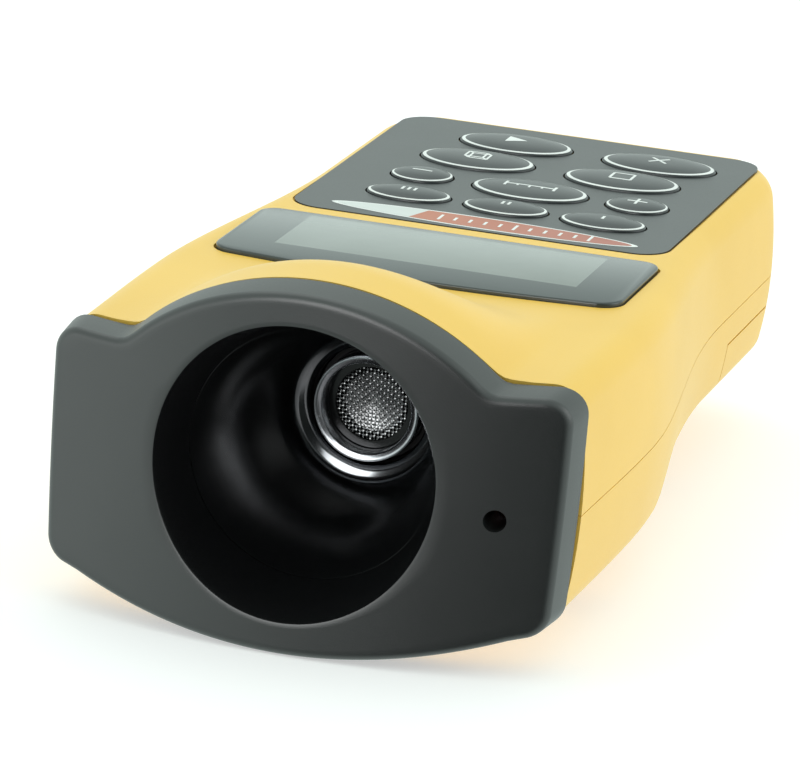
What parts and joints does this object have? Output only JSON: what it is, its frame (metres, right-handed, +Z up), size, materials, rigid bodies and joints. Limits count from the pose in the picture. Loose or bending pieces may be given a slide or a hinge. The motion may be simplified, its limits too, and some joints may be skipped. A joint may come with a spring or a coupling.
{
  "type": "ultrasonic distance meter",
  "caption": "Hand-held ultrasonic distance meter: a front horn with its transducer, a laser pointer beside it, a display, spring-return keys and a slide-off battery door.",
  "frame": {"origin": "centre of the bottom of the bounding box, below the middle of the case", "axes": "+X to the right seen from the front, +Y from the horn's mouth to the rear end along the case, +Z up out of the keypad"},
  "size_m": [0.0794, 0.1565, 0.0528],
  "materials": {
    "yellow_abs": "satin moulded ABS, slightly waxy",
    "black_satin_abs": "satin black moulded ABS with fine spark texture",
    "black_gloss_abs": "polished black moulded ABS",
    "grey_film": "printed polyester film, satin, with white key outlines",
    "grey_key": "domed grey keys with white legends",
    "grey_acrylic": "back-printed smoky acrylic",
    "lcd_glass": "liquid crystal cell, grey-green",
    "white_plastic": "white moulded plastic",
    "rubber": "matt black rubber",
    "foam": "grey foam pad",
    "aluminium": "drawn aluminium",
    "steel": "bright steel",
    "brass": "turned brass",
    "piezo": "piezo ceramic",
    "lens": "clear lens",
    "board": "green fibreglass board",
    "epoxy": "black moulded epoxy",
    "blue_sleeve": "blue shrink sleeve",
    "battery_skin": "printed battery jacket",
    "red_wire": "red wire insulation",
    "black_wire": "black wire insulation",
    "grey_wire": "grey cable sheath"
  },
  "bodies": {
    "root": {"upper_case": "yellow_abs", "lower_case": "yellow_abs", "front_bezel": "black_satin_abs", "sound_horn": "black_gloss_abs", "transducer_can": "aluminium", "transducer_mesh": "steel", "resonator_cone": "aluminium", "piezo_disc": "piezo", "transducer_base": "epoxy", "transducer_grommet": "rubber", "laser_barrel": "brass", "laser_lens": "lens", "laser_diode": "steel", "laser_driver_board": "board", "display_plate": "grey_acrylic", "lcd_cell": "lcd_glass", "lcd_holder": "white_plastic", "elastomer_strip": "rubber", "keypad_film": "grey_film", "main_board": "board", "processor_chip": "epoxy", "receiver_chip": "epoxy", "clock_crystal": "steel", "supply_capacitor": "blue_sleeve", "drive_transformer": "epoxy", "beeper": "epoxy", "battery": "battery_skin", "battery_snap": "rubber", "battery_lead_red": "red_wire", "battery_lead_black": "black_wire", "transducer_lead": "grey_wire", "laser_lead": "red_wire", "case_screw_1": "steel", "case_screw_2": "steel", "case_screw_3": "steel", "case_screw_4": "steel", "board_screw_1": "steel", "board_screw_2": "steel", "snap_dome_memory_1": "steel", "snap_dome_memory_2": "steel", "snap_dome_memory_3": "steel", "snap_dome_minus": "steel", "snap_dome_plus": "steel", "snap_dome_units": "steel", "snap_dome_volume": "steel", "snap_dome_area": "steel", "snap_dome_start": "steel", "snap_dome_clear": "steel"},
    "door": {"battery_door": "yellow_abs", "battery_pad": "foam"},
    "button_memory_1": {"key_memory_1": "grey_key"},
    "button_memory_2": {"key_memory_2": "grey_key"},
    "button_memory_3": {"key_memory_3": "grey_key"},
    "button_minus": {"key_minus": "grey_key"},
    "button_plus": {"key_plus": "grey_key"},
    "button_units": {"key_units": "grey_key"},
    "button_volume": {"key_volume": "grey_key"},
    "button_area": {"key_area": "grey_key"},
    "button_start": {"key_start": "grey_key"},
    "button_clear": {"key_clear": "grey_key"}
  },
  "joints": [
    {"name": "press_memory_1", "type": "slide", "parent": "root", "child": "button_memory_1", "axis": [0, 0, -1], "range_m": [0, 0.00045], "stiffness_N_per_m": 800},
    {"name": "press_memory_2", "type": "slide", "parent": "root", "child": "button_memory_2", "axis": [0, 0, -1], "range_m": [0, 0.00045], "stiffness_N_per_m": 800},
    {"name": "press_memory_3", "type": "slide", "parent": "root", "child": "button_memory_3", "axis": [0, 0, -1], "range_m": [0, 0.00045], "stiffness_N_per_m": 800},
    {"name": "press_minus", "type": "slide", "parent": "root", "child": "button_minus", "axis": [0, 0, -1], "range_m": [0, 0.00045], "stiffness_N_per_m": 800},
    {"name": "press_plus", "type": "slide", "parent": "root", "child": "button_plus", "axis": [0, 0, -1], "range_m": [0, 0.00045], "stiffness_N_per_m": 800},
    {"name": "press_units", "type": "slide", "parent": "root", "child": "button_units", "axis": [0, 0, -1], "range_m": [0, 0.00045], "stiffness_N_per_m": 800},
    {"name": "press_volume", "type": "slide", "parent": "root", "child": "button_volume", "axis": [0, 0, -1], "range_m": [0, 0.00045], "stiffness_N_per_m": 800},
    {"name": "press_area", "type": "slide", "parent": "root", "child": "button_area", "axis": [0, 0, -1], "range_m": [0, 0.00045], "stiffness_N_per_m": 800},
    {"name": "press_start", "type": "slide", "parent": "root", "child": "button_start", "axis": [0, 0, -1], "range_m": [0, 0.00045], "stiffness_N_per_m": 800},
    {"name": "press_clear", "type": "slide", "parent": "root", "child": "button_clear", "axis": [0, 0, -1], "range_m": [0, 0.00045], "stiffness_N_per_m": 800},
    {"name": "door_slide", "type": "slide", "parent": "root", "child": "door", "axis": [0, 1, 0], "range_m": [0, 0.042]}
  ]
}
